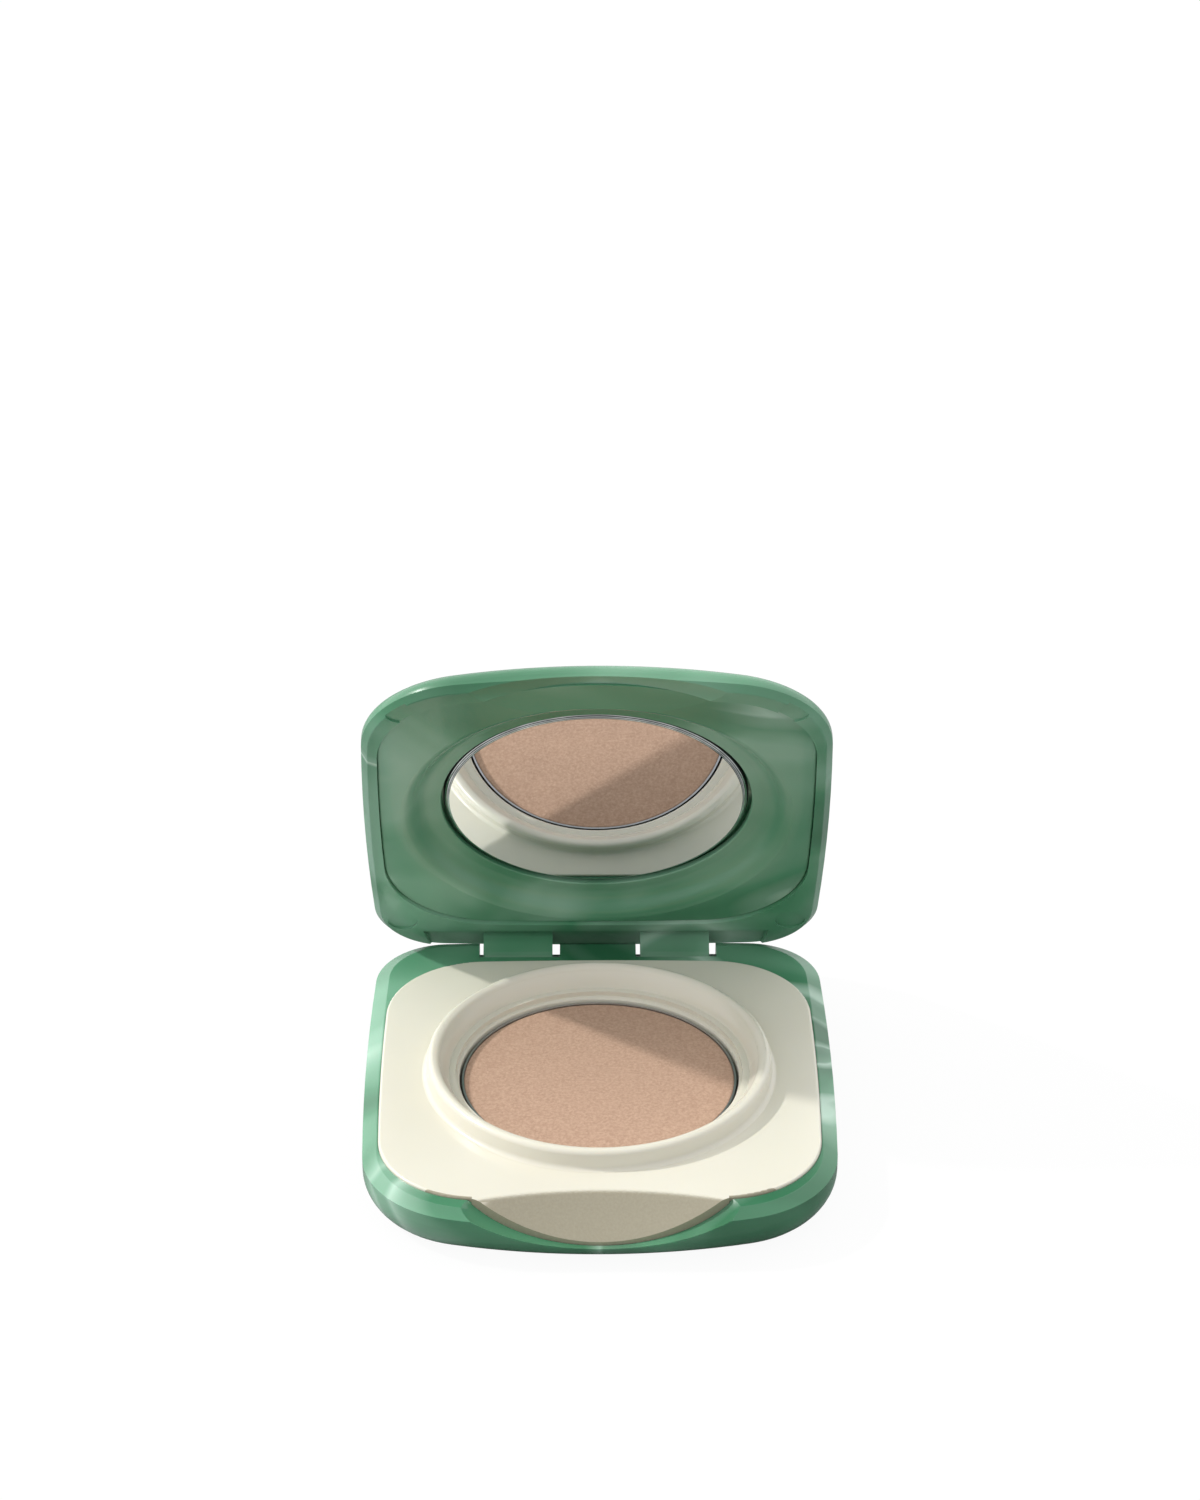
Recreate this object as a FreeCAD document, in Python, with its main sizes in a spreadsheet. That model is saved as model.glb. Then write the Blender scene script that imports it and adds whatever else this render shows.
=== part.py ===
import FreeCAD, Part
import math
import os
import Sketcher

# Powder compact, lid open: a moulded base and lid on one hinge pin, an ivory insert
# holding a pan of pressed powder, and a mirror set in a dished panel in the lid.
# Millimetres.  X right, front of the compact to -Y, hinge at +Y, underside at Z 0.

os.makedirs("parts", exist_ok=True)
V = FreeCAD.Vector
doc = FreeCAD.newDocument("powder_compact")

# ---------------------------------------------------------------- driving sizes
sheet = doc.addObject("Spreadsheet::Sheet", "sizes")
SIZES = [
    # case outline
    ("half_width", 37.5), ("side_bow", 600.0), ("front_bow", 104.0), ("deck_bow", 200.0),
    ("back_bow", 600.0), ("beyond", 45.0), ("overlap", 1.0),
    ("base_front", -41.2), ("base_back", 40.25), ("front_corner", 17.6), ("back_corner", 12.0),
    ("base_height", 8.5), ("base_edge_round", 5.8), ("base_floor", 1.6),
    ("shoulder_in", 0.9), ("shoulder_down", 2.2), ("rim_round", 0.4),
    # ivory insert
    ("well_half_width", 35.05), ("well_front", -35.8), ("well_back", 32.8),
    ("well_front_corner", 16.0), ("well_back_corner", 16.0), ("fit_gap", 0.06),
    ("deck_rise", 0.45), ("deck_thick", 1.75), ("skirt_thick", 1.4), ("deck_edge_round", 0.4),
    ("hollow_in", 9.0),
    ("tongue_radius", 46.6), ("tongue_y", 7.1), ("tongue_half_width", 19.8), ("tongue_floor", 2.8),
    ("collar_radius", 27.5), ("collar_rise", 3.7), ("hole_radius", 22.4),
    ("hole_drop", 0.7), ("cup_wall", 1.3), ("cup_floor_top", 3.1), ("cup_floor_thick", 1.1),
    ("foot_reach", 0.9), ("foot_bend", 0.8), ("lip_bend", 0.95), ("collar_root", 1.1),
    ("cup_foot_out", 4.0), ("cup_foot_in", 5.2), ("bond", 0.1),
    # pan and powder
    ("glue_radius", 20.0), ("glue_thick", 0.15), ("pan_radius", 22.0), ("pan_wall", 0.3),
    ("pan_height", 4.15), ("powder_crown", 0.25), ("powder_rim_drop", 0.12),
    ("powder_edge", 0.5), ("powder_edge_rise", 0.1),
    # thumb scoop in the base
    ("scoop_rx", 27.1), ("scoop_ry", 12.55), ("scoop_rz", 13.4), ("scoop_y", -38.0), ("scoop_rise", 8.1),
    ("face_radius", 114.2), ("face_y", -107.0), ("face_rise", 87.45), ("face_edge_round", 1.2),
    # hinge
    ("hinge_y", 37.4), ("hinge_drop", 2.5), ("barrel_radius", 2.9), ("knuckle_radius", 2.4),
    ("base_knuckle_half", 6.35), ("lid_knuckle_in", 7.35), ("lid_knuckle_out", 18.9),
    ("notch_half", 19.8), ("notch_front", 34.2), ("pin_radius", 0.8), ("pin_half_length", 26.0),
    ("pin_play", 0.05), ("open_angle", 63.5), ("lid_side_play", -0.25),
    # lid
    ("shadow_gap", 0.5), ("lid_front", -39.9), ("lid_back", 39.3), ("lid_bow", 150.0),
    ("lid_crown", 7.8), ("crown_radius", 300.0), ("crown_y", 6.0), ("lid_edge_round", 2.4),
    ("lid_shoulder_in", 1.05), ("lid_shoulder_up", 1.0), ("lid_rim_round", 0.3), ("lid_wall", 0.95),
    ("panel_half_width", 34.95), ("panel_front", -35.8), ("panel_back", 31.3),
    ("panel_front_corner", 16.0), ("panel_back_corner", 18.0), ("panel_recess", 0.6),
    ("panel_thick", 1.1), ("plate_round", 0.3), ("lid_cavity_in", 1.9),
    ("pocket_half", 29.0), ("pocket_back_half", 26.0), ("pocket_front", 33.2), ("pocket_depth", 1.0),
    ("lid_scoop_x", 27.5), ("lid_scoop_y", 11.2), ("lid_scoop_z", 4.5), ("lid_scoop_centre", -39.5),
    ("panel_scoop_x", 37.6), ("panel_scoop_y", 13.1), ("panel_scoop_z", 4.15),
    ("panel_scoop_centre", -37.0), ("lid_scoop_drop", 3.0), ("lid_tongue_radius", 55.5),
    ("lid_tongue_y", 17.5), ("lid_tongue_half", 18.5), ("lid_tongue_deep", 2.4),
    ("mark_radius", 2.5), ("mark_depth", 0.3), ("mark_x", 32.3), ("mark_y", 29.9),
    ("front_mark_x", 30.6), ("front_mark_y", -31.9), ("cavity_back_out", 1.2), ("web_trim", 1.2),
    ("web_rise", 0.4),
    # mirror
    ("mirror_y", -0.95), ("opening_radius", 25.1), ("dish_depth", 3.65), ("dish_floor", 26.8),
    ("dish_top", 32.2), ("dish_bend", 3.16), ("mirror_radius", 24.55),
    ("mirror_thick", 1.1), ("mirror_drop", 3.85),
    ("silver_thick", 0.1), ("tape_thick", 0.2), ("mirror_side", -0.2), ("tape_inset", 1.5),
    # magnets
    ("magnet_radius", 3.0), ("magnet_thick", 1.4), ("magnet_x", 26.0), ("magnet_y", -26.5),
    ("boss_wall", 1.0), ("lid_boss_tall", 0.6), ("lid_seat_deep", 0.5), ("seat_down", 5.0),
]
for row, (alias, value) in enumerate(SIZES, start=1):
    sheet.set("A%d" % row, alias)
    sheet.set("B%d" % row, str(value))
    sheet.setAlias("B%d" % row, alias)
doc.recompute()
S = dict(SIZES)


def bind(obj, **sizes):
    """Drive each property of obj by an expression over the sheet's names."""
    for prop, expr in sizes.items():
        prop = prop.replace("__", ".")
        for alias in sorted(S, key=len, reverse=True):
            expr = expr.replace("{%s}" % alias, "sizes.%s" % alias)
        obj.setExpression(prop, expr)
    return obj


def value(expr):
    """The number an expression over the sheet's names stands for."""
    probe = doc.addObject("App::FeaturePython", "probe")
    probe.addProperty("App::PropertyFloat", "n")
    bind(probe, n=expr)
    doc.recompute([probe])
    result = float(probe.n)
    doc.removeObject(probe.Name)
    return result


def add(kind, name, **sizes):
    return bind(doc.addObject(kind, name), **sizes)


def cut(name, base, *tools):
    shape = base
    for number, tool in enumerate(tools):
        step = doc.addObject("Part::Cut", "%s_cut%d" % (name, number))
        step.Base, step.Tool = shape, tool
        shape = step
    doc.recompute()
    return shape


def fuse(name, *shapes):
    joined = doc.addObject("Part::MultiFuse", name)
    joined.Shapes = list(shapes)
    joined.Refine = True
    doc.recompute()
    return joined


def common(name, *shapes):
    shared = doc.addObject("Part::MultiCommon", name)
    shared.Shapes = list(shapes)
    doc.recompute()
    return shared


def corner_centre(side_c, side_r, end_c, end_r, radius, sign_x, sign_y):
    """Centre of a corner arc that touches a side arc and an end arc from inside."""
    a, b = side_r - radius, end_r - radius
    dx, dy = end_c[0] - side_c[0], end_c[1] - side_c[1]
    gap = math.hypot(dx, dy)
    along = (a * a - b * b + gap * gap) / (2 * gap)
    off = math.sqrt(a * a - along * along)
    options = []
    for way in (1, -1):
        options.append((side_c[0] + (along * dx - way * off * dy) / gap,
                        side_c[1] + (along * dy + way * off * dx) / gap))
    return max(options, key=lambda p: sign_x * p[0] + sign_y * p[1])


def outline(name, half, front, back, front_corner, back_corner, bow="{front_bow}"):
    """Sketch of a bowed square: four wide arcs joined by four tangent corner arcs."""
    hw, yf, yb, rf, rb = (value(e) for e in (half, front, back, front_corner, back_corner))
    side, fbow, bbow = S["side_bow"], value(bow), S["back_bow"]
    mid = (yf + yb) / 2
    right, left = (hw - side, mid), (side - hw, mid)
    rear, fore = (0.0, yb - bbow), (0.0, yf + fbow)
    c_rb = corner_centre(right, side, rear, bbow, rb, 1, 1)
    c_rf = corner_centre(right, side, fore, fbow, rf, 1, -1)
    c_lb, c_lf = (-c_rb[0], c_rb[1]), (-c_rf[0], c_rf[1])
    # counter-clockwise from the right-hand side
    chain = [(right, side), (c_rb, rb), (rear, bbow), (c_lb, rb),
             (left, side), (c_lf, rf), (fore, fbow), (c_rf, rf)]

    def touch(one, two):
        (big, big_r), (small, _) = (one, two) if one[1] > two[1] else (two, one)
        ang = math.atan2(small[1] - big[1], small[0] - big[0])
        return big[0] + big_r * math.cos(ang), big[1] + big_r * math.sin(ang)

    sketch = doc.addObject("Sketcher::SketchObject", name)
    for i, (centre, radius) in enumerate(chain):
        start, end = touch(chain[i - 1], chain[i]), touch(chain[i], chain[(i + 1) % 8])
        a0 = math.atan2(start[1] - centre[1], start[0] - centre[0])
        a1 = math.atan2(end[1] - centre[1], end[0] - centre[0])
        circle = Part.Circle(V(centre[0], centre[1], 0), V(0, 0, 1), radius)
        sketch.addGeometry(Part.ArcOfCircle(circle, a0, a1 if a1 > a0 else a1 + 2 * math.pi), False)
    for i in range(8):
        sketch.addConstraint(Sketcher.Constraint("Tangent", i, 2, (i + 1) % 8, 1))

    def driven(kind, label, expr, *where):
        index = sketch.addConstraint(Sketcher.Constraint(kind, *where, value(expr)))
        sketch.renameConstraint(index, label)
        bind(sketch, **{"Constraints__" + label: expr})

    mid_expr = "((%s) + (%s)) / 2" % (front, back)
    for label, geo, expr in (("bow_right", 0, "{side_bow}"), ("bow_back", 2, "{back_bow}"),
                             ("bow_left", 4, "{side_bow}"), ("bow_front", 6, bow),
                             ("corner_rb", 1, back_corner), ("corner_lb", 3, back_corner),
                             ("corner_lf", 5, front_corner), ("corner_rf", 7, front_corner)):
        driven("Radius", label, expr, geo)
    driven("DistanceX", "right_x", "(%s) - {side_bow}" % half, -1, 1, 0, 3)
    driven("DistanceX", "left_x", "{side_bow} - (%s)" % half, -1, 1, 4, 3)
    driven("DistanceY", "right_y", mid_expr, -1, 1, 0, 3)
    driven("DistanceY", "left_y", mid_expr, -1, 1, 4, 3)
    driven("DistanceY", "back_y", "(%s) - {back_bow}" % back, -1, 1, 2, 3)
    driven("DistanceY", "front_y", "(%s) + (%s)" % (front, bow), -1, 1, 6, 3)
    sketch.addConstraint(Sketcher.Constraint("PointOnObject", 2, 3, -2))
    sketch.addConstraint(Sketcher.Constraint("PointOnObject", 6, 3, -2))
    doc.recompute()
    return sketch


def slab(name, sketch, bottom, height):
    block = doc.addObject("Part::Extrusion", name)
    block.Base = sketch
    block.DirMode = "Custom"
    block.Dir = V(0, 0, 1)
    block.Solid = True
    bind(block, LengthFwd=height, Placement__Base__z=bottom)
    doc.recompute()
    return block


def arc_centre(p, q, radius):
    """Centre of the arc from p to q: on the left of the way for a positive radius."""
    dx, dz = q[0] - p[0], q[1] - p[1]
    half = math.hypot(dx, dz) / 2
    off = math.copysign(math.sqrt(radius * radius - half * half), radius)
    return (p[0] + q[0]) / 2 - dz / (2 * half) * off, (p[1] + q[1]) / 2 + dx / (2 * half) * off


def turned(name, points, centre_y="0"):
    """Solid of revolution about the vertical through centre_y.

    Points are (r, z) expressions.  A third item bends the run to the next point into an arc of
    that radius: a leading + puts its centre on the left of the way, a leading - on the right.
    """
    sketch = doc.addObject("Sketcher::SketchObject", name + "_profile")
    sketch.Placement = FreeCAD.Placement(V(0, 0, 0), FreeCAD.Rotation(V(1, 0, 0), 90))
    nums = [(value(point[0]), value(point[1])) for point in points]
    count = len(points)
    ends = []
    for i, point in enumerate(points):
        start, end = nums[i], nums[(i + 1) % count]
        if len(point) == 2:
            sketch.addGeometry(Part.LineSegment(V(*start, 0), V(*end, 0)), False)
            ends.append((1, 2))
            continue
        sign, radius = point[2][0], value(point[2][1:])
        cx, cz = arc_centre(start, end, radius if sign == "+" else -radius)
        first, last = (start, end) if sign == "+" else (end, start)
        a0 = math.atan2(first[1] - cz, first[0] - cx)
        a1 = math.atan2(last[1] - cz, last[0] - cx)
        circle = Part.Circle(V(cx, cz, 0), V(0, 0, 1), radius)
        sketch.addGeometry(Part.ArcOfCircle(circle, a0, a1 if a1 > a0 else a1 + 2 * math.pi), False)
        ends.append((1, 2) if sign == "+" else (2, 1))
    for i in range(count):
        after = (i + 1) % count
        sketch.addConstraint(Sketcher.Constraint("Coincident", i, ends[i][1], after, ends[after][0]))
    for i, point in enumerate(points):
        at = ends[i][0]
        for kind, tag, expr, number in (("DistanceX", "r", point[0], nums[i][0]),
                                        ("DistanceY", "z", point[1], nums[i][1])):
            if kind == "DistanceX" and abs(number) < 1e-9:
                sketch.addConstraint(Sketcher.Constraint("PointOnObject", i, at, -2))
                continue
            index = sketch.addConstraint(Sketcher.Constraint(kind, -1, 1, i, at, number))
            sketch.renameConstraint(index, "%s%d" % (tag, i))
            bind(sketch, **{"Constraints__%s%d" % (tag, i): expr})
        if len(point) == 3:
            index = sketch.addConstraint(Sketcher.Constraint("Radius", i, value(point[2][1:])))
            sketch.renameConstraint(index, "bend%d" % i)
            bind(sketch, **{"Constraints__bend%d" % i: point[2][1:]})
    solid = doc.addObject("Part::Revolution", name)
    solid.Source = sketch
    solid.Axis = V(0, 0, 1)
    solid.Base = V(0, 0, 0)
    solid.Angle = 360
    solid.Solid = True
    bind(solid, Placement__Base__y=centre_y)
    doc.recompute()
    return solid


def rod(name, radius, length, x, y, z, along_x=False):
    """Cylinder starting at x, y, z, upright or lying along X."""
    part = add("Part::Cylinder", name, Radius=radius, Height=length)
    if along_x:
        part.Placement = FreeCAD.Placement(V(0, 0, 0), FreeCAD.Rotation(V(0, 1, 0), 90))
    bind(part, Placement__Base__x=x, Placement__Base__y=y, Placement__Base__z=z)
    return part


def box(name, x, y, z, length, width, height):
    return add("Part::Box", name, Length=length, Width=width, Height=height,
               Placement__Base__x=x, Placement__Base__y=y, Placement__Base__z=z)


def bulb(name, rx, ry, rz, y, z):
    """Ellipsoid on the centre plane."""
    part = add("Part::Ellipsoid", name, Radius1=rz, Radius2=rx, Radius3=ry)
    part.Angle1, part.Angle2, part.Angle3 = -90, 90, 360
    bind(part, Placement__Base__y=y, Placement__Base__z=z)
    return part


def rounded(name, source, radius_alias, wanted):
    """Fillet of every edge of source that wanted() picks."""
    doc.recompute()
    picks = [i for i, e in enumerate(source.Shape.Edges, start=1) if wanted(e)]
    part = doc.addObject("Part::Fillet", name)
    part.Base = source
    part.Edges = [(i, S[radius_alias], S[radius_alias]) for i in picks]
    doc.recompute()
    return part


def bevelled(name, source, in_size, down_size, wanted, face_first):
    """Two-distance chamfer of the edges wanted() picks."""
    doc.recompute()
    picks = [i for i, e in enumerate(source.Shape.Edges, start=1) if wanted(e)]
    part = doc.addObject("Part::Chamfer", name)
    part.Base = source
    first, second = (in_size, down_size) if face_first else (down_size, in_size)
    part.Edges = [(i, S[first], S[second]) for i in picks]
    doc.recompute()
    return part


def flat_at(z, edge, tol=0.01):
    return abs(edge.BoundBox.ZMin - z) < tol and abs(edge.BoundBox.ZMax - z) < tol


BASE_TOP = S["base_height"]
LID_RIM = S["base_height"] + S["shadow_gap"]
NODES = {}


def node(label, shape, lid=False):
    """Name a finished part.  Lid parts are drawn shut, then turned open about the hinge line."""
    if lid:
        opened = doc.addObject("Part::Compound", label + "_open")
        opened.Links = [shape]
        opened.Placement = FreeCAD.Placement(V(0, 0, 0), FreeCAD.Rotation(V(1, 0, 0), -S["open_angle"]))
        height, turn = "({base_height} - {hinge_drop})", "({open_angle})"
        bind(opened, Placement__Rotation__Angle="-{open_angle}",
             Placement__Base__x="{lid_side_play}",
             Placement__Base__y="{hinge_y} - {hinge_y} * cos" + turn + " - " + height + " * sin" + turn,
             Placement__Base__z=height + " + {hinge_y} * sin" + turn + " - " + height + " * cos" + turn)
        shape = opened
    shape.Label = label
    NODES[label] = shape
    doc.recompute()


# ---------------------------------------------------------------- base shell
outer = outline("base_outline", "{half_width}", "{base_front}", "{base_back}",
                "{front_corner}", "{back_corner}")
blank = slab("base_blank", outer, "0", "{base_height}")
blank = rounded("base_soft", blank, "base_edge_round", lambda e: flat_at(0, e))
blank = bevelled("base_shoulder", blank, "shoulder_in", "shoulder_down",
                 lambda e: flat_at(BASE_TOP, e), True)
blank = rounded("base_rim", blank, "rim_round", lambda e: flat_at(BASE_TOP, e))

well = outline("well_outline", "{well_half_width}", "{well_front}", "{well_back}",
               "{well_front_corner}", "{well_back_corner}", "{deck_bow}")
well_cut = slab("well_cut", well, "{base_floor}", "{base_height}")
tongue_room = "{base_height} + {overlap} - {tongue_floor}"
tongue_round = rod("tongue_round", "{tongue_radius}", tongue_room, "0", "{tongue_y}", "{tongue_floor}")
tongue_gate = box("tongue_gate", "-{tongue_half_width}", "-{beyond}", "{tongue_floor}",
                  "2 * {tongue_half_width}", "20", tongue_room)
tongue_cut = common("tongue_cut", tongue_round, tongue_gate)
scoop = bulb("scoop", "{scoop_rx}", "{scoop_ry}", "{scoop_rz}",
             "{scoop_y}", "{base_height} + {scoop_rise}")

# back edge turned about the hinge line, so the lid rim swings clear of it
axis_z = "{base_height} - {hinge_drop}"
back_block = box("back_block", "-{beyond}", "{hinge_y}", axis_z, "2 * {beyond}", "10",
                 "{hinge_drop} + {overlap}")
back_round = rod("back_round", "{barrel_radius}", "2 * {beyond}", "-{beyond}", "{hinge_y}", axis_z,
                 along_x=True)
back_cut = cut("back_trim", back_block, back_round)
notches = []
for side, start in (("left", "-{notch_half}"), ("right", "{base_knuckle_half}")):
    notches.append(box("notch_" + side, start, "{notch_front}", "-{overlap}",
                       "{notch_half} - {base_knuckle_half}", "10", "{base_height} + 2 * {overlap}"))
# the bore runs out through the right-hand side, where the pin goes in
bore = rod("pin_bore", "{pin_radius}", "{pin_half_length} + {beyond}", "-{pin_half_length}",
           "{hinge_y}", axis_z, along_x=True)
base_shell = cut("base_shell", blank, well_cut, tongue_cut, scoop, back_cut,
                 notches[0], notches[1], bore)
node("base_shell", base_shell)

# ---------------------------------------------------------------- ivory insert
deck_outline = outline("deck_outline", "{well_half_width} - {fit_gap}", "{well_front} + {fit_gap}",
                       "{well_back} - {fit_gap}", "{well_front_corner} - {fit_gap}",
                       "{well_back_corner} - {fit_gap}", "{deck_bow}")
deck = slab("deck", deck_outline, "{base_floor}", "{base_height} + {deck_rise} - {base_floor}")
deck = rounded("deck_soft", deck, "deck_edge_round",
               lambda e: flat_at(BASE_TOP + S["deck_rise"], e))
tongue_low = "{tongue_floor} + {fit_gap}"
tongue_tall = "{base_height} + {deck_rise} - {tongue_floor} - {fit_gap}"
tongue_body = rod("tongue_body", "{tongue_radius} - {fit_gap}", tongue_tall, "0", "{tongue_y}", tongue_low)
tongue_limit = box("tongue_limit", "-{tongue_half_width} + {fit_gap}", "-{beyond}", tongue_low,
                   "2 * {tongue_half_width} - 2 * {fit_gap}", "14", tongue_tall)
tongue = common("tongue", tongue_body, tongue_limit)

hollow_outline = outline("hollow_outline", "{well_half_width} - {skirt_thick}",
                         "{well_front} + {hollow_in}", "{well_back} - {skirt_thick}",
                         "{well_front_corner} - {skirt_thick}", "{well_back_corner} - {skirt_thick}")
under_deck = "{base_height} + {deck_rise} - {deck_thick}"
hollow = slab("hollow", hollow_outline, "{base_floor} - {overlap}",
              under_deck + " - {base_floor} + {overlap}")
top = "{base_height} + {collar_rise}"
lip = "{base_height} - {hole_drop}"
cup_low = "{cup_floor_top} - {cup_floor_thick}"
# collar, sloping funnel, lip and the cup that holds the pan, in one ring
ring = turned("collar_ring", [
    ("{collar_radius} + {foot_reach}", "{base_height}"),
    ("{collar_radius} + {foot_reach}", "{base_height} + {deck_rise} + 0.02", "-{foot_bend}"),
    ("{collar_radius} + 0.15", "{base_height} + {deck_rise} + 0.75"),
    ("{collar_radius}", top + " - {lip_bend}", "+{lip_bend}"),
    ("{collar_radius} - {lip_bend}", top, "+1.3"),
    ("{collar_radius} - 2.1", top + " - 0.75", "+6"),
    ("{hole_radius} + 1.6", lip + " + 1.0", "-2"),
    ("{hole_radius} + 0.35", lip + " + 0.25", "+0.4"),
    ("{hole_radius}", lip + " - 0.1"),
    ("{hole_radius}", "{cup_floor_top}"),
    ("0", "{cup_floor_top}"),
    ("0", cup_low),
    ("{hole_radius} + {cup_wall}", cup_low),
    ("{hole_radius} + {cup_wall}", "{base_height} - {collar_root}"),
    ("{collar_radius} - 1", "{base_height} - {collar_root}"),
    ("{collar_radius} - 1", "{base_height}"),
])
hole_cut = rod("hole_cut", "{hole_radius} + 0.6", "{base_height} + 5", "0", "0", "0")
deck = cut("deck_hollowed", deck, hollow, hole_cut)
foot_out, foot_in = "{hole_radius} - {cup_foot_out}", "{hole_radius} - {cup_foot_in}"
cup_foot = turned("cup_foot", [(foot_out, "{base_floor}"), (foot_out, cup_low + " + {bond}"),
                               (foot_in, cup_low + " + {bond}"), (foot_in, "{base_floor}")])
bosses = []
for side, sign in (("left", "-"), ("right", "")):
    bosses.append(rod("base_boss_" + side, "{magnet_radius} + {boss_wall}", "{magnet_thick} + {bond}",
                      sign + "{magnet_x}", "{magnet_y}", under_deck + " - {magnet_thick}"))
insert = fuse("insert_body", deck, tongue, ring, cup_foot, *bosses)
seats = []
for side, sign in (("left", "-"), ("right", "")):
    seats.append(rod("base_seat_" + side, "{magnet_radius}", "{magnet_thick} + {seat_down}",
                     sign + "{magnet_x}", "{magnet_y}", under_deck + " - {magnet_thick} - {seat_down}"))
thumb_face = bulb("thumb_face", "{face_radius}", "{face_radius}", "{face_radius}",
                  "{face_y}", "{base_height} + {face_rise}")
insert_cut = cut("insert_cut", insert, thumb_face, *seats)
face_back = S["face_y"] + math.sqrt(S["face_radius"] ** 2 - (S["face_rise"] - S["deck_rise"]) ** 2)
base_insert = rounded("base_insert", insert_cut, "face_edge_round",
                      lambda e: (flat_at(BASE_TOP + S["deck_rise"], e)
                                 and abs(e.BoundBox.YMax - face_back) < 0.1))
node("base_insert", base_insert)

# ---------------------------------------------------------------- pan and powder
pan_low = "{cup_floor_top} + {glue_thick}"
pan_glue = rod("pan_glue", "{glue_radius}", "{glue_thick}", "0", "0", "{cup_floor_top}")
node("pan_glue", pan_glue)
pan = turned("pan", [
    ("0", pan_low), ("{pan_radius}", pan_low), ("{pan_radius}", pan_low + " + {pan_height}"),
    ("{pan_radius} - {pan_wall}", pan_low + " + {pan_height}"),
    ("{pan_radius} - {pan_wall}", pan_low + " + {pan_wall}"), ("0", pan_low + " + {pan_wall}")])
node("pan", pan)
cake = pan_low + " + {pan_height} - {powder_rim_drop}"
powder = turned("powder", [
    ("0", pan_low + " + {pan_wall}"), ("{pan_radius} - {pan_wall}", pan_low + " + {pan_wall}"),
    ("{pan_radius} - {pan_wall}", cake),
    ("{pan_radius} - {pan_wall} - {powder_edge}", cake + " + {powder_edge_rise}"),
    ("{pan_radius} * 0.6", cake + " + 0.7 * {powder_crown}"), ("0", cake + " + {powder_crown}")])
node("pressed_powder", powder)

# ---------------------------------------------------------------- closure magnets in the base
for side, sign in (("left", "-"), ("right", "")):
    magnet = rod("base_magnet_" + side, "{magnet_radius}", "{magnet_thick}", sign + "{magnet_x}",
                 "{magnet_y}", under_deck + " - {magnet_thick}")
    node("base_magnet_" + side, magnet)

# ---------------------------------------------------------------- hinge pin
pin = rod("pin", "{pin_radius}", "2 * {pin_half_length}", "-{pin_half_length}", "{hinge_y}", axis_z,
          along_x=True)
node("hinge_pin", pin)

# ---------------------------------------------------------------- lid shell, drawn shut
rim = "{base_height} + {shadow_gap}"
lid_sketch = outline("lid_outline", "{half_width}", "{lid_front}", "{lid_back}",
                     "{front_corner}", "{back_corner}", "{lid_bow}")
lid_blank = slab("lid_blank", lid_sketch, rim, "{lid_crown} + {overlap}")
lid_blank = bevelled("lid_shoulder", lid_blank, "lid_shoulder_in", "lid_shoulder_up",
                     lambda e: flat_at(LID_RIM, e), True)
lid_blank = rounded("lid_rim_soft", lid_blank, "lid_rim_round", lambda e: flat_at(LID_RIM, e))
crown = add("Part::Sphere", "crown", Radius="{crown_radius}", Placement__Base__y="{crown_y}",
            Placement__Base__z=rim + " + {lid_crown} - {crown_radius}")
lid_blank = common("lid_domed", lid_blank, crown)
lid_blank = rounded("lid_soft", lid_blank, "lid_edge_round",
                    lambda e: e.BoundBox.ZMin > LID_RIM + 2 and e.Length > 3)

panel_sketch = outline("panel_seat_outline", "{panel_half_width}", "{panel_front}", "{panel_back}",
                       "{panel_front_corner}", "{panel_back_corner}", "{deck_bow}")
panel_seat = slab("panel_seat", panel_sketch, rim + " - {overlap}",
                  "{overlap} + {panel_recess} + {panel_thick}")
cavity_sketch = outline("cavity_outline", "{panel_half_width} - {lid_cavity_in}",
                        "{panel_front} + {lid_cavity_in}",
                        "{panel_back} - {lid_cavity_in} + {cavity_back_out}",
                        "{panel_front_corner} - {lid_cavity_in}", "{panel_back_corner} - {lid_cavity_in}",
                        "{deck_bow}")
ceiling = "{mirror_drop} + {mirror_thick} + {silver_thick} + {tape_thick}"
cavity_block = slab("cavity_block", cavity_sketch, rim, ceiling)
inner_crown = add("Part::Sphere", "inner_crown", Radius="{crown_radius} - {lid_wall}",
                  Placement__Base__y="{crown_y}",
                  Placement__Base__z=rim + " + {lid_crown} - {crown_radius}")
cavity = common("lid_cavity", cavity_block, inner_crown)

# shallow step in the back rim for the barrel, with slanted ends
pocket_sketch = doc.addObject("Sketcher::SketchObject", "pocket_profile")
corners = [("-{pocket_half}", "{pocket_front}"), ("-{pocket_back_half}", "{beyond}"),
           ("{pocket_back_half}", "{beyond}"), ("{pocket_half}", "{pocket_front}")]
numbers = [(value(x), value(y)) for x, y in corners]
for i in range(4):
    a, b = numbers[i], numbers[(i + 1) % 4]
    pocket_sketch.addGeometry(Part.LineSegment(V(a[0], a[1], 0), V(b[0], b[1], 0)), False)
for i in range(4):
    pocket_sketch.addConstraint(Sketcher.Constraint("Coincident", i, 2, (i + 1) % 4, 1))
for i, (x, y) in enumerate(corners):
    for kind, expr, number in (("DistanceX", x, numbers[i][0]), ("DistanceY", y, numbers[i][1])):
        spot = pocket_sketch.addConstraint(Sketcher.Constraint(kind, -1, 1, i, 1, number))
        pocket_sketch.renameConstraint(spot, "%s%d" % (kind, i))
        bind(pocket_sketch, **{"Constraints__%s%d" % (kind, i): expr})
doc.recompute()
pocket = slab("pocket", pocket_sketch, rim + " - {overlap}", "{pocket_depth} + {overlap}")

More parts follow.
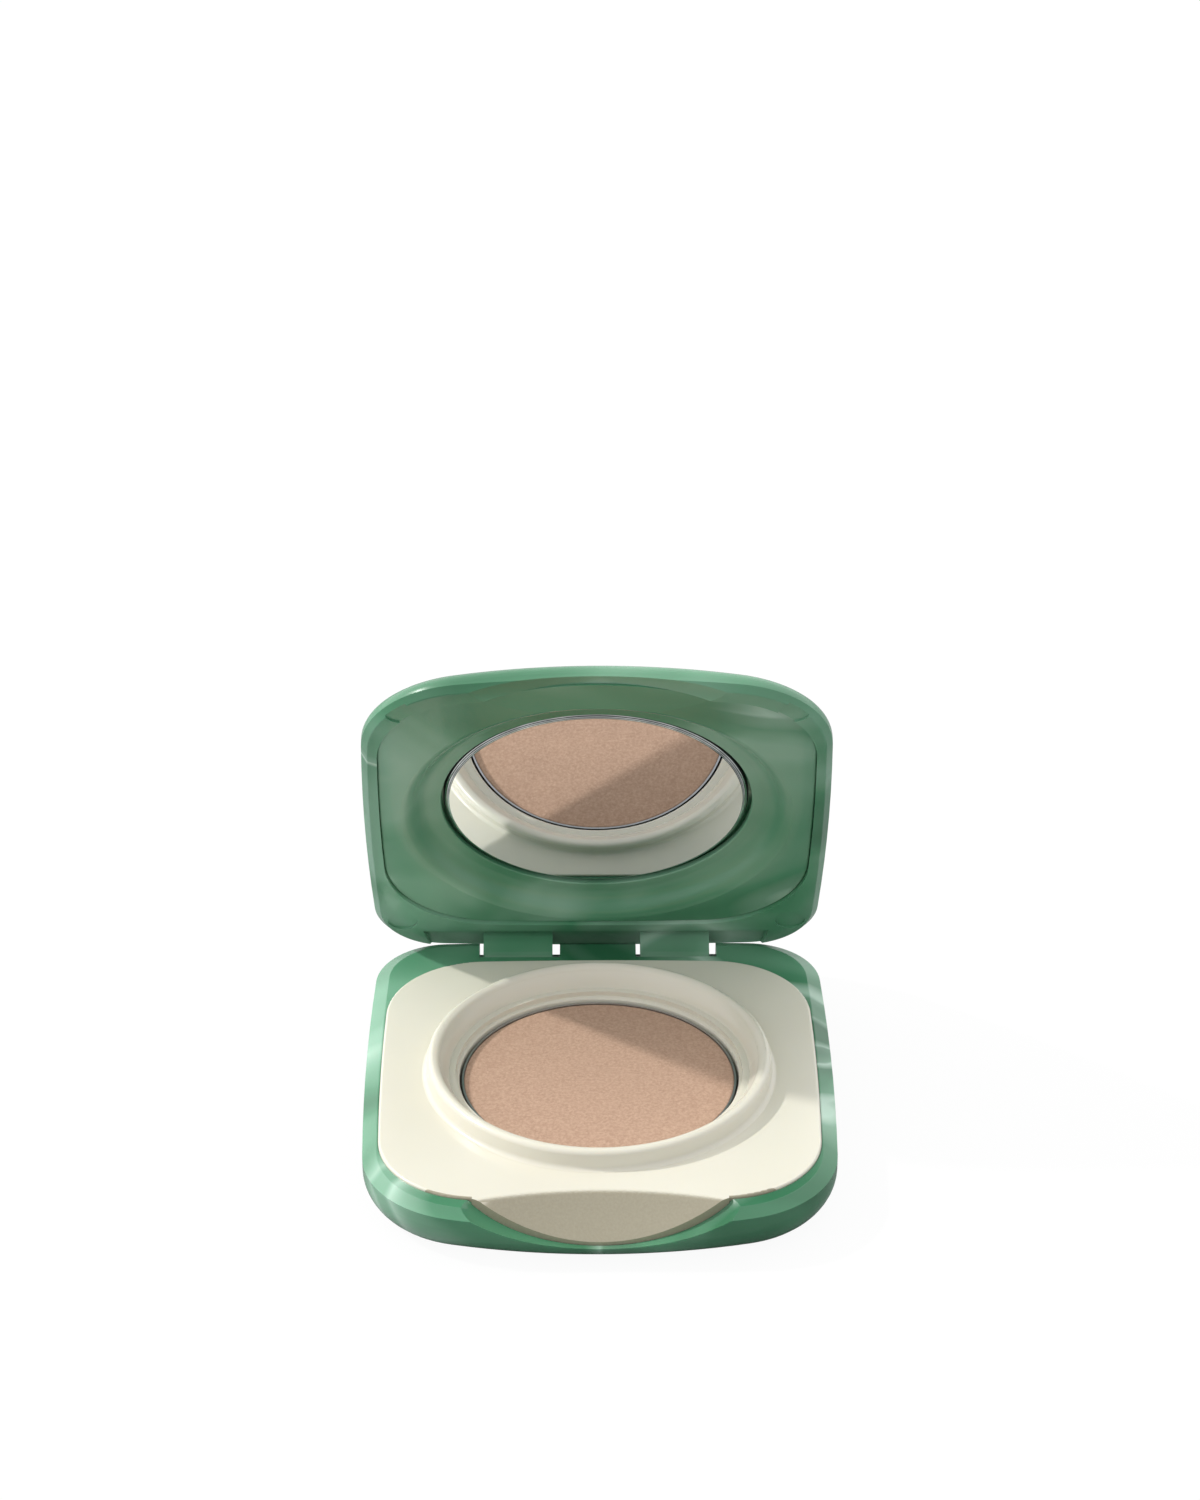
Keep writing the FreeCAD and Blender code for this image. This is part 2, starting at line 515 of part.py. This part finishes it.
lid_scoop = bulb("lid_scoop", "{lid_scoop_x}", "{lid_scoop_y}", "{lid_scoop_z}",
                 "{lid_scoop_centre}", rim + " - {lid_scoop_drop}")
seat_round = rod("lid_tongue_seat", "{lid_tongue_radius}", "{lid_tongue_deep} + {overlap}", "0",
                 "{lid_tongue_y}", rim + " - {overlap}")
seat_gate = box("lid_tongue_seat_gate", "-{lid_tongue_half}", "-{beyond}", rim + " - {overlap}",
                "2 * {lid_tongue_half}", "14", "{lid_tongue_deep} + {overlap}")
tongue_seat = common("lid_tongue_room", seat_round, seat_gate)
marks = []
for label, x, y in (("a", "{mark_x}", "{mark_y}"), ("b", "-{mark_x}", "{mark_y}"),
                    ("c", "{front_mark_x}", "{front_mark_y}"),
                    ("d", "-{front_mark_x}", "{front_mark_y}")):
    marks.append(rod("mark_" + label, "{mark_radius}", "{mark_depth} + {overlap}", x, y,
                     rim + " - {overlap}"))
lid_body = cut("lid_hollowed", lid_blank, panel_seat, tongue_seat, cavity, pocket, *marks, lid_scoop)

knuckles, lid_bores = [], []
long = "{lid_knuckle_out} - {lid_knuckle_in}"
for side, start in (("left", "-{lid_knuckle_out}"), ("right", "{lid_knuckle_in}")):
    barrel = rod("lid_barrel_" + side, "{knuckle_radius}", long, start, "{hinge_y}", axis_z, along_x=True)
    web = box("lid_web_" + side, start, "{hinge_y} - {knuckle_radius}", axis_z, long,
              "2 * {knuckle_radius} - {web_trim}",
              "{hinge_drop} + {shadow_gap} + {pocket_depth} + {web_rise}")
    knuckles += [barrel, web]
lid_joined = fuse("lid_joined", lid_body, *knuckles)
lid_bore = rod("lid_bore", "{pin_radius} + {pin_play}", "2 * {notch_half}", "-{notch_half}",
               "{hinge_y}", axis_z, along_x=True)
lid_shell = cut("lid_shell", lid_joined, lid_bore)
node("lid_shell", lid_shell, lid=True)

# ---------------------------------------------------------------- lid panel with its round dish
plate_sketch = outline("panel_outline", "{panel_half_width} - {fit_gap}", "{panel_front} + {fit_gap}",
                       "{panel_back} - {fit_gap}", "{panel_front_corner} - {fit_gap}",
                       "{panel_back_corner} - {fit_gap}", "{deck_bow}")
face = rim + " + {panel_recess}"
plate = slab("plate", plate_sketch, face, "{panel_thick}")
plate = rounded("plate_soft", plate, "plate_round",
                lambda e: flat_at(LID_RIM + S["panel_recess"], e))
dish_outside = turned("dish_outside", [
    ("0", face + " + {panel_thick} - 0.2"), ("{dish_top} - 1.5", face + " + {panel_thick} - 0.2"),
    ("{dish_top} - 1.5", face + " + {panel_thick}"), ("{dish_floor} + 2.2", rim + " + {dish_depth} + 0.9"),
    ("0", rim + " + {dish_depth} + 0.9")], "{mirror_y}")
middle_r = "({dish_top} + {dish_floor}) / 2"
middle_z = rim + " + ({panel_recess} + {dish_depth}) / 2"
# the dish falls from the flat border to its floor in two equal tangent bends
dish_inside = turned("dish_inside", [
    ("0", face + " - {overlap}"), ("{dish_top}", face + " - {overlap}"),
    ("{dish_top}", face + " - 0.06", "-{dish_bend}"),
    (middle_r, middle_z, "+{dish_bend}"), ("{dish_floor}", rim + " + {dish_depth}"),
    ("{opening_radius} + 0.15", rim + " + {dish_depth}"),
    ("{opening_radius}", rim + " + {dish_depth} + 0.15"),
    ("{opening_radius}", rim + " + {dish_depth} + 2"), ("0", rim + " + {dish_depth} + 2")], "{mirror_y}")
panel_round = rod("panel_tongue", "{lid_tongue_radius} - {fit_gap}", "{lid_tongue_deep} - {panel_recess}",
                  "0", "{lid_tongue_y}", face)
panel_gate = box("panel_tongue_gate", "-{lid_tongue_half} + {fit_gap}", "-{beyond}", face,
                 "2 * {lid_tongue_half} - 2 * {fit_gap}", "13", "{lid_tongue_deep} - {panel_recess}")
panel_tongue = common("panel_tongue_body", panel_round, panel_gate)
panel_scoop = bulb("panel_scoop", "{panel_scoop_x}", "{panel_scoop_y}", "{panel_scoop_z}",
                   "{panel_scoop_centre}", rim + " - {lid_scoop_drop}")
panel_flat = cut("panel_scooped", fuse("panel_plate", plate, panel_tongue), panel_scoop)
panel = fuse("panel_raised", panel_flat, dish_outside)
lid_bosses, lid_seats = [], []
back_face = face + " + {panel_thick}"
for side, sign in (("left", "-"), ("right", "")):
    lid_bosses.append(rod("lid_boss_" + side, "{magnet_radius} + {boss_wall} - 0.2", "{lid_boss_tall}",
                          sign + "{magnet_x}", "{magnet_y}", back_face + " - {bond}"))
    lid_seats.append(rod("lid_seat_" + side, "{magnet_radius}", "2 * {overlap}", sign + "{magnet_x}",
                         "{magnet_y}", back_face + " - {lid_seat_deep}"))
panel = fuse("panel_bossed", panel, *lid_bosses)
lid_panel = cut("lid_panel", panel, *lid_seats, dish_inside)
node("lid_panel", lid_panel, lid=True)

for side, sign in (("left", "-"), ("right", "")):
    magnet = rod("lid_magnet_" + side, "{magnet_radius}", "{magnet_thick} - 0.4", sign + "{magnet_x}",
                 "{magnet_y}", back_face + " - {lid_seat_deep}")
    node("lid_magnet_" + side, magnet, lid=True)

# ---------------------------------------------------------------- mirror
glass_low = rim + " + {mirror_drop}"
glass = rod("glass", "{mirror_radius}", "{mirror_thick}", "{mirror_side}", "{mirror_y}", glass_low)
node("mirror_glass", glass, lid=True)
silver = rod("silver", "{mirror_radius}", "{silver_thick}", "{mirror_side}", "{mirror_y}",
             glass_low + " + {mirror_thick}")
node("mirror_silvering", silver, lid=True)
tape = rod("tape", "{mirror_radius} - {tape_inset}", "{tape_thick}", "{mirror_side}", "{mirror_y}",
           glass_low + " + {mirror_thick} + {silver_thick}")
node("mirror_tape", tape, lid=True)

# ---------------------------------------------------------------- checks and export
doc.recompute()
for obj in doc.Objects:
    if "Invalid" in obj.State or "Error" in obj.State:
        raise RuntimeError("%s did not build" % obj.Name)
for label, obj in NODES.items():
    if obj.Shape.isNull() or len(obj.Shape.Solids) != 1 or not obj.Shape.isValid():
        raise RuntimeError("%s is not one valid solid" % label)
    shape = Part.Solid(obj.Shape.Solids[0])
    shape.exportStep("parts/%s.step" % label)
    print("%-20s volume %9.1f" % (label, shape.Volume))
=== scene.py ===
import math

import bmesh
import bpy
from mathutils import Matrix, Vector


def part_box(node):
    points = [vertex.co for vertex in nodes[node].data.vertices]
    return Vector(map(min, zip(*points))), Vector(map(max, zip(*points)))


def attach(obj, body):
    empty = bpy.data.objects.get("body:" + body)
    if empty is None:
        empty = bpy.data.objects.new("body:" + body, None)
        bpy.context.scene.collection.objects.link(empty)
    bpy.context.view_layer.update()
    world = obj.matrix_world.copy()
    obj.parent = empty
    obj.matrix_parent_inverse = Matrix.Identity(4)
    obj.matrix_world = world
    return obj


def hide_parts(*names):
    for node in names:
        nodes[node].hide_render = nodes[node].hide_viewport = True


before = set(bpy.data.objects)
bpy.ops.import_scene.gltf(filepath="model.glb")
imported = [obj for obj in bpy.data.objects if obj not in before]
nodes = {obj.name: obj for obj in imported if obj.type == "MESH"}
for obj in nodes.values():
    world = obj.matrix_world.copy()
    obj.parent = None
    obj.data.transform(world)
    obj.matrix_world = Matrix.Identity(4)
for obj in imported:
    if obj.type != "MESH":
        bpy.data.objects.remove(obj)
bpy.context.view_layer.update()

MM = 0.001
scene = bpy.context.scene
RIGHT, UP = Vector((1, 0, 0)), Vector((0, 0, 1))
BLACK, WHITE = (0, 0, 0, 1), (1, 1, 1, 1)
FAINT = (0.3, 0.3, 0.3, 1)          # faint trace beside a wisp


# ------------------------------------------------------------------ small helpers
def srgb(r, g, b):
    """Linear colour of an 8-bit sRGB one."""
    def one(c):
        c = c / 255
        return c / 12.92 if c <= 0.04045 else ((c + 0.055) / 1.055) ** 2.4
    return one(r), one(g), one(b), 1.0


class Look:
    """A material whose nodes are made and joined in short lines."""

    def __init__(self, name):
        self.material = bpy.data.materials.new(name)
        self.material.use_nodes = True
        self.tree = self.material.node_tree
        self.surface = self.tree.nodes["Principled BSDF"]
        self.output = self.tree.nodes["Material Output"]
        self.place = self.node("ShaderNodeTexCoord").outputs["Object"]

    def node(self, kind, inputs=None, **settings):
        made = self.tree.nodes.new(kind)
        for key, value in settings.items():
            setattr(made, key, value)
        for key, value in (inputs or {}).items():
            self.feed(made.inputs[key], value)
        return made

    def feed(self, socket, value):
        if isinstance(value, bpy.types.NodeSocket):
            self.tree.links.new(value, socket)
        else:
            socket.default_value = value

    def shine(self, **values):
        for key, value in values.items():
            self.feed(self.surface.inputs[key.replace("_", " ")], value)

    def noise(self, scale, detail=2.0, rough=0.5, distort=0.0, vector=None):
        return self.node("ShaderNodeTexNoise", {
            "Vector": vector or self.place, "Scale": scale, "Detail": detail,
            "Roughness": rough, "Distortion": distort}).outputs["Fac"]

    def ramp(self, factor, stops):
        made = self.node("ShaderNodeValToRGB", {"Fac": factor})
        points = made.color_ramp.elements
        while len(points) < len(stops):
            points.new(0.5)
        for point, (where, colour) in zip(points, stops):
            point.position = where
            point.color = colour
        return made.outputs["Color"]

    def mix(self, factor, first, second):
        made = self.node("ShaderNodeMix", data_type="RGBA", blend_type="MIX")
        self.feed(made.inputs["Factor"], factor)
        self.feed(made.inputs[6], first)
        self.feed(made.inputs[7], second)
        return made.outputs[2]

    def maths(self, how, first, second=0.0):
        made = self.node("ShaderNodeMath", operation=how)
        self.feed(made.inputs[0], first)
        self.feed(made.inputs[1], second)
        return made.outputs[0]

    def bump(self, height, depth, strength=1.0):
        made = self.node("ShaderNodeBump", {"Height": height, "Distance": depth, "Strength": strength})
        self.feed(self.surface.inputs["Normal"], made.outputs["Normal"])


# ------------------------------------------------------------------ materials
VEIN = 0.9                    # how strongly the wisps show
PAINTED_LIGHT_LEFT = 1.3               # painted light: how much paler the green grows per metre towards the left, where the light falls
WISP = srgb(192, 222, 205)
FOLD = (0.09, 0.09, 0.09)     # how far the clouds and wisps are bent


def marbled_green(name, shift, dark, mid, pale):
    """Glossy green plastic with soft milky clouds, a few folded wisps, and painted light: paler towards the
    left.
    """
    look = Look(name)
    moved = look.node("ShaderNodeMapping", {"Vector": look.place, "Location": shift,
                                            "Scale": (1.0, 1.2, 1.5)}).outputs["Vector"]
    fold = look.node("ShaderNodeTexNoise", {"Vector": moved, "Scale": 16.0, "Detail": 1.0}).outputs["Color"]
    push = look.node("ShaderNodeVectorMath", {0: fold, 1: FOLD}, operation="MULTIPLY").outputs[0]
    bent = look.node("ShaderNodeVectorMath", {0: moved, 1: push}, operation="ADD").outputs[0]
    cloud = look.noise(24.0, 2.0, 0.45, 0.3, bent)
    # painted light: the clouds turn paler towards the left (smaller X)
    across = look.node("ShaderNodeSeparateXYZ", {0: look.place}).outputs["X"]
    cloud = look.maths("SUBTRACT", cloud, look.maths("MULTIPLY", across, PAINTED_LIGHT_LEFT))
    body = look.ramp(cloud, [(0.36, dark), (0.52, mid), (0.66, pale)])
    veins = look.noise(15.0, 2.0, 0.4, 0.9, bent)
    vein = look.ramp(veins, [(0.45, BLACK), (0.495, WHITE), (0.51, FAINT), (0.58, BLACK)])
    patch = look.ramp(look.noise(24.0, 1.0, 0.5, 0.0, moved), [(0.38, BLACK), (0.54, WHITE)])
    strength = look.maths("MULTIPLY", look.maths("MULTIPLY", vein, patch), VEIN)
    colour = look.mix(strength, body, WISP)
    look.shine(Base_Color=colour, IOR=1.5, Subsurface_Weight=0.15, Subsurface_Radius=(0.4, 1.0, 0.7),
               Subsurface_Scale=0.0022, Coat_Weight=0.3, Coat_Roughness=0.06)
    smear = look.noise(160.0, 3.0, 0.6)
    look.shine(Roughness=look.maths("ADD", look.maths("MULTIPLY", smear, 0.10), 0.19))
    look.bump(look.noise(900.0, 2.0), 0.000012, 0.35)
    return look.material


THUMB_SHADE_Y = -0.0325          # the sloping thumb face, painted darker as shade, begins forward of this Y, in metres


def ivory_plastic():
    """Glossy ivory; the thumb face at the front is matt and fine-grained, and painted darker as shade where
    it faces forward.
    """
    look = Look("ivory_plastic")
    tone = look.ramp(look.noise(30.0, 2.0), [(0.3, srgb(223, 219, 204)), (0.7, srgb(228, 225, 211))])
    axes = look.node("ShaderNodeSeparateXYZ", {0: look.place}).outputs
    normal = look.node("ShaderNodeTexCoord").outputs["Normal"]
    facing = look.node("ShaderNodeSeparateXYZ", {0: normal}).outputs
    # painted shade: mask of the thumb face where it turns to the front
    forward_shade = look.ramp(look.maths("MULTIPLY", facing["Y"], -1.0), [(0.12, BLACK), (0.50, WHITE)])
    front = look.maths("LESS_THAN", axes["Y"], THUMB_SHADE_Y)
    face = look.maths("MULTIPLY", forward_shade, front)
    # darker speckled ivory painted on the thumb face as shade; the speckle is a fine grain
    speckle = look.noise(2600.0, 2.0, 0.6)
    grain = look.ramp(speckle, [(0.3, srgb(160, 153, 133)), (0.7, srgb(167, 160, 140))])
    look.shine(Base_Color=look.mix(face, tone, grain), IOR=1.49, Subsurface_Weight=0.18,
               Subsurface_Radius=(1.0, 0.85, 0.6), Subsurface_Scale=0.0012, Coat_Weight=0.2,
               Coat_Roughness=0.08)
    smear = look.maths("ADD", look.maths("MULTIPLY", look.noise(220.0, 3.0, 0.6), 0.08), 0.20)
    look.shine(Roughness=look.maths("ADD", smear, look.maths("MULTIPLY", face, 0.30)))
    look.bump(look.noise(1100.0, 2.0), 0.00001, 0.3)
    return look.material


def pressed_powder():
    """Pink-beige cake: fine grain, a soft mottle and the faint turning marks of the press."""
    look = Look("pressed_powder")
    grain = look.noise(2000.0, 4.0, 0.7)
    mottle = look.noise(700.0, 3.0, 0.6)
    base = look.ramp(mottle, [(0.35, srgb(178, 144, 122)), (0.65, srgb(185, 151, 129))])
    colour = look.mix(look.ramp(grain, [(0.40, BLACK), (0.68, WHITE)]),
                      base, srgb(202, 169, 146))
    look.shine(Base_Color=colour, Roughness=0.9, Sheen_Weight=0.05, Sheen_Roughness=0.5)
    flat = look.node("ShaderNodeVectorMath", {0: look.place, 1: (1.0, 1.0, 0.0)}, operation="MULTIPLY")
    rings = look.node("ShaderNodeTexWave", {
        "Vector": flat.outputs[0], "Scale": 75.0, "Distortion": 2.0, "Detail": 3.0,
        "Detail Scale": 3.0}, wave_type="RINGS", rings_direction="SPHERICAL").outputs["Fac"]
    height = look.maths("ADD", look.maths("MULTIPLY", rings, 0.6), look.maths("ADD", grain, mottle))
    look.bump(height, 0.00009, 0.9)
    return look.material


def metal(name, colour, roughness, scale):
    """Bare metal with a fine brushed variation."""
    look = Look(name)
    brushed = look.noise(scale, 3.0, 0.6)
    darker = tuple(0.85 * c for c in colour[:3]) + (1,)
    look.shine(Base_Color=look.ramp(brushed, [(0.3, colour), (0.7, darker)]), Metallic=1.0)
    look.shine(Roughness=look.maths("ADD", look.maths("MULTIPLY", brushed, 0.15), roughness))
    return look.material


def adhesive():
    """Pale double-sided tape and glue."""
    look = Look("adhesive")
    tone = look.ramp(look.noise(500.0), [(0.3, srgb(212, 208, 196)), (0.7, srgb(228, 225, 214))])
    look.shine(Base_Color=tone, Roughness=0.7)
    return look.material


MIRROR_LEAN = math.radians(5.0)      # extra tip of the reflection


def silvering(normal):
    """Mirror whose reflection leans a little, as a plate bedded unevenly on its tape does."""
    look = Look("silvering")
    haze = look.noise(90.0, 3.0)
    tone = look.ramp(haze, [(0.3, srgb(238, 240, 243)), (0.7, srgb(246, 248, 250))])
    look.shine(Base_Color=tone, Metallic=1.0, Roughness=0.004)
    lean = Matrix.Rotation(-MIRROR_LEAN, 3, RIGHT) @ normal
    turned = look.node("ShaderNodeVectorTransform", {"Vector": tuple(lean)}, vector_type="NORMAL",
                       convert_from="OBJECT", convert_to="WORLD").outputs[0]
    look.feed(look.surface.inputs["Normal"], turned)
    return look.material


def polished_edge():
    """Ground and polished rim of the mirror plate."""
    look = Look("polished_edge")
    haze = look.noise(300.0, 2.0)
    tone = look.ramp(haze, [(0.35, (0.62, 0.64, 0.63, 1)), (0.65, (0.93, 0.94, 0.93, 1))])
    look.shine(Base_Color=tone, Metallic=1.0, Roughness=0.03)
    return look.material


def painted_dark_band():
    """Near-black painted shade: the unlit gap between the mirror and its seat, and dark reflections painted
    between the polished bands of the bevel.
    """
    look = Look("painted_dark_band")
    tone = look.ramp(look.noise(400.0), [(0.3, srgb(10, 18, 13)), (0.7, srgb(16, 27, 20))])
    look.shine(Base_Color=tone, Roughness=0.6)
    return look.material


def dress(node, material):
    mesh = nodes[node].data
    mesh.materials.clear()
    mesh.materials.append(material)


green = marbled_green("marbled_green", (0.0, 0.0, 0.0), srgb(52, 112, 79), srgb(80, 142, 107),
                      srgb(128, 180, 151))
green_lid = marbled_green("marbled_green_lid", (0.13, 0.02, 0.05), srgb(58, 118, 84), srgb(84, 146, 110),
                          srgb(132, 178, 152))
green_panel = marbled_green("green_panel", (0.31, 0.07, 0.11), srgb(66, 124, 90), srgb(88, 148, 114),
                            srgb(134, 178, 152))
steel = metal("pin_steel", srgb(168, 170, 173), 0.22, 700.0)
nickel = metal("magnet_nickel", srgb(160, 162, 165), 0.30, 500.0)
pan_metal = metal("pan_metal", srgb(190, 192, 195), 0.28, 600.0)
glue = adhesive()
powder = pressed_powder()
for name, material in {
    "base_shell": green, "lid_shell": green_lid, "lid_panel": green_panel, "base_insert": ivory_plastic(),
    "pressed_powder": powder, "pan": pan_metal, "pan_glue": glue, "mirror_tape": glue,
    "base_magnet_left": nickel, "base_magnet_right": nickel, "lid_magnet_left": nickel,
    "lid_magnet_right": nickel, "hinge_pin": steel, "mirror_glass": glue, "mirror_silvering": glue,
}.items():
    dress(name, material)


# ------------------------------------------------------------------ pieces made here
AT_AXIS = 1e-9                # a radius below this is a point on the axis


def turned_mesh(name, profile, steps, centre, face):
    """Body of revolution about face through centre; profile is (radius, height, material index)."""
    side = face.cross(RIGHT)
    mesh = bpy.data.meshes.new(name)
    shape = bmesh.new()
    rings = []
    for radius, height, _ in profile:
        if radius < AT_AXIS:
            rings.append([shape.verts.new(centre + face * height)])
            continue
        ring = []
        for i in range(steps):
            angle = 2 * math.pi * i / steps
            out = math.cos(angle) * RIGHT + math.sin(angle) * side
            ring.append(shape.verts.new(centre + face * height + radius * out))
        rings.append(ring)
    for (low, high), (_, _, index) in zip(zip(rings, rings[1:]), profile[1:]):
        for i in range(steps):
            j = (i + 1) % steps
            corners = [low[i % len(low)], low[j % len(low)], high[j % len(high)], high[i % len(high)]]
            corners = list(dict.fromkeys(corners))
            made = shape.faces.new(corners)
            made.smooth = True
            made.material_index = index
    bmesh.ops.recalc_face_normals(shape, faces=shape.faces)
    shape.to_mesh(mesh)
    shape.free()
    piece = bpy.data.objects.new(name, mesh)
    scene.collection.objects.link(piece)
    return piece


PLATE_STEPS = 256
# steps across the rim of the mirror: inset and drop in millimetres, then the finish of the band
# that ends there: 0 silver, 1 polished glass edge, 2 dark, painted shade and painted dark reflection
MIRROR_EDGE = [(0.95, 0.0, 0), (0.88, 0.03, 2), (0.72, 0.05, 1), (0.66, 0.10, 2), (0.46, 0.16, 1),
               (0.40, 0.26, 2), (0.24, 0.34, 1), (0.10, 0.50, 2), (0.0, 0.75, 2)]


def mirror_plate():
    """The mirror as one polished plate with a ground bevel, in the place of glass and silvering."""
    glass = nodes["mirror_glass"].data
    face = max((q for q in glass.polygons if q.normal.y < 0), key=lambda q: q.area).normal.copy()
    points = [v.co for v in glass.vertices]
    middle = sum(points, Vector()) / len(points)
    heights = [(q - middle).dot(face) for q in points]
    radius = max(((q - middle) - face * (q - middle).dot(face)).length for q in points)
    front, back = max(heights), min(heights)
    profile = [(0.0, front, 0), (0.5 * radius, front, 0)]
    for inset, drop, index in MIRROR_EDGE:
        profile.append((radius - inset * MM, front - drop * MM, index))
    profile += [(radius, back, 2), (0.0, back, 2)]
    plate = turned_mesh("mirror_plate", profile, PLATE_STEPS, middle, face)
    plate.data.materials.append(silvering(face))
    plate.data.materials.append(polished_edge())
    # slot 2: near-black painted shade for the gap and painted dark reflections in the bevel
    plate.data.materials.append(painted_dark_band())
    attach(plate, "lid")
    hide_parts("mirror_glass", "mirror_silvering")


CAKE_STEPS, CAKE_RINGS = 200, 90
CAKE_CROWN, CAKE_EDGE = 0.25 * MM, 0.35 * MM
EDGE_STEPS = 5
RIDGE_HIGH, RIDGE_PITCH, RIDGE_FADE = 0.018 * MM, 0.62 * MM, 2 * MM


def powder_cake():
    """Pressed powder with a soft edge, a slight crown and the low ridges that the press turns in."""
    low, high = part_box("pressed_powder")
    radius = (high.x - low.x) / 2
    centre = Vector(((low.x + high.x) / 2, (low.y + high.y) / 2, 0))
    brow = high.z - CAKE_CROWN
    profile = [(0.0, low.z, 0), (radius, low.z, 0), (radius, brow - CAKE_EDGE, 0)]
    for i in range(1, EDGE_STEPS):
        turn = i / EDGE_STEPS * math.pi / 2
        inset, drop = CAKE_EDGE * (1 - math.cos(turn)), CAKE_EDGE * (1 - math.sin(turn))
        profile.append((radius - inset, brow - drop, 0))
    for i in range(CAKE_RINGS, -1, -1):
        r = (radius - CAKE_EDGE) * i / CAKE_RINGS
        swell = CAKE_CROWN * (1 - (r / radius) ** 2)
        ridge = RIDGE_HIGH * (math.sin(r / RIDGE_PITCH) - 1) * min(1.0, (radius - r) / RIDGE_FADE)
        profile.append((r, brow + swell + ridge, 0))
    cake = turned_mesh("powder_cake", profile, CAKE_STEPS, centre, UP)
    cake.data.materials.append(powder)
    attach(cake, "base")
    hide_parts("pressed_powder")


mirror_plate()
powder_cake()


# ------------------------------------------------------------------ stage, light, camera
FLOOR_SIZE, FLOOR_DROP = 6.0, 0.00005


def stage_floor():
    """White sweep: bright to the eye, and dim in what it throws back under the case."""
    bpy.ops.mesh.primitive_plane_add(size=FLOOR_SIZE, location=(0, 0, -FLOOR_DROP))
    floor = bpy.context.object
    floor.name = "studio_floor"
    look = Look("studio_floor")
    look.shine(Base_Color=(0.30, 0.31, 0.31, 1), Roughness=0.5)
    pale = look.node("ShaderNodeBsdfDiffuse", {"Color": (0.9, 0.9, 0.9, 1)}).outputs[0]
    glow = look.node("ShaderNodeEmission", {"Color": (1, 1, 1, 1), "Strength": 1.0}).outputs[0]
    bright = look.node("ShaderNodeMixShader", {0: 0.94, 1: pale, 2: glow}).outputs[0]
    seen = look.node("ShaderNodeLightPath").outputs["Is Camera Ray"]
    both = look.node("ShaderNodeMixShader", {0: seen, 1: look.surface.outputs[0], 2: bright}).outputs[0]
    look.tree.links.new(both, look.output.inputs["Surface"])
    floor.data.materials.append(look.material)


# strength of the room light: the same everywhere, and added towards each side
SKY = {"base": 0.14, "up": 0.64, "left": 1.0, "right": 0.55, "back": 0.80, "front": 0.04}


def world_light():
    """Soft room light, brightest above and to the left; white where the camera sees it."""
    world = bpy.data.worlds.new("studio")
    scene.world = world
    world.use_nodes = True
    tree = world.node_tree

    def maths(how, first, second):
        made = tree.nodes.new("ShaderNodeMath")
        made.operation = how
        for socket, value in zip(made.inputs, (first, second)):
            if isinstance(value, bpy.types.NodeSocket):
                tree.links.new(value, socket)
            else:
                socket.default_value = value
        return made.outputs[0]

    split = tree.nodes.new("ShaderNodeSeparateXYZ")
    tree.links.new(tree.nodes.new("ShaderNodeTexCoord").outputs["Generated"], split.inputs[0])
    total = SKY["base"]
    for axis, sign, name in (("Z", 1, "up"), ("X", -1, "left"), ("X", 1, "right"), ("Y", 1, "back"),
                             ("Y", -1, "front")):
        part = maths("MAXIMUM", maths("MULTIPLY", split.outputs[axis], float(sign)), 0.0)
        total = maths("ADD", maths("MULTIPLY", part, SKY[name]), total)
    seen = tree.nodes.new("ShaderNodeLightPath").outputs["Is Camera Ray"]
    pick = tree.nodes.new("ShaderNodeMix")
    tree.links.new(seen, pick.inputs["Factor"])
    tree.links.new(total, pick.inputs["A"])
    pick.inputs["B"].default_value = 1.0
    back = tree.nodes["Background"]
    tree.links.new(pick.outputs["Result"], back.inputs["Strength"])
    back.inputs["Color"].default_value = (1.0, 1.0, 1.0, 1.0)


KEY_ENERGY = 1.85
KEY_TRAVEL = Vector((1.08, -0.30, -1.0))


def key_light():
    lamp = bpy.data.lights.new("key", "SUN")
    lamp.energy = KEY_ENERGY
    lamp.angle = math.radians(2.5)
    lamp.color = (1.0, 0.985, 0.955)
    sun = bpy.data.objects.new("key", lamp)
    scene.collection.objects.link(sun)
    sun.rotation_euler = KEY_TRAVEL.normalized().to_track_quat("-Z", "Y").to_euler()


def camera():
    eye = bpy.data.cameras.new("camera")
    eye.lens = 105.6
    eye.sensor_width = 36.0
    eye.clip_start = 0.02
    body = bpy.data.objects.new("camera", eye)
    scene.collection.objects.link(body)
    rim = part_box("base_shell")[1].z
    body.location = (-3.54 * MM, -585.24 * MM, rim + 396.79 * MM)
    body.rotation_euler = (math.radians(60.05), 0.0, math.radians(-0.36))
    scene.camera = body


stage_floor()
world_light()
key_light()
camera()
scene.view_settings.view_transform = "Standard"
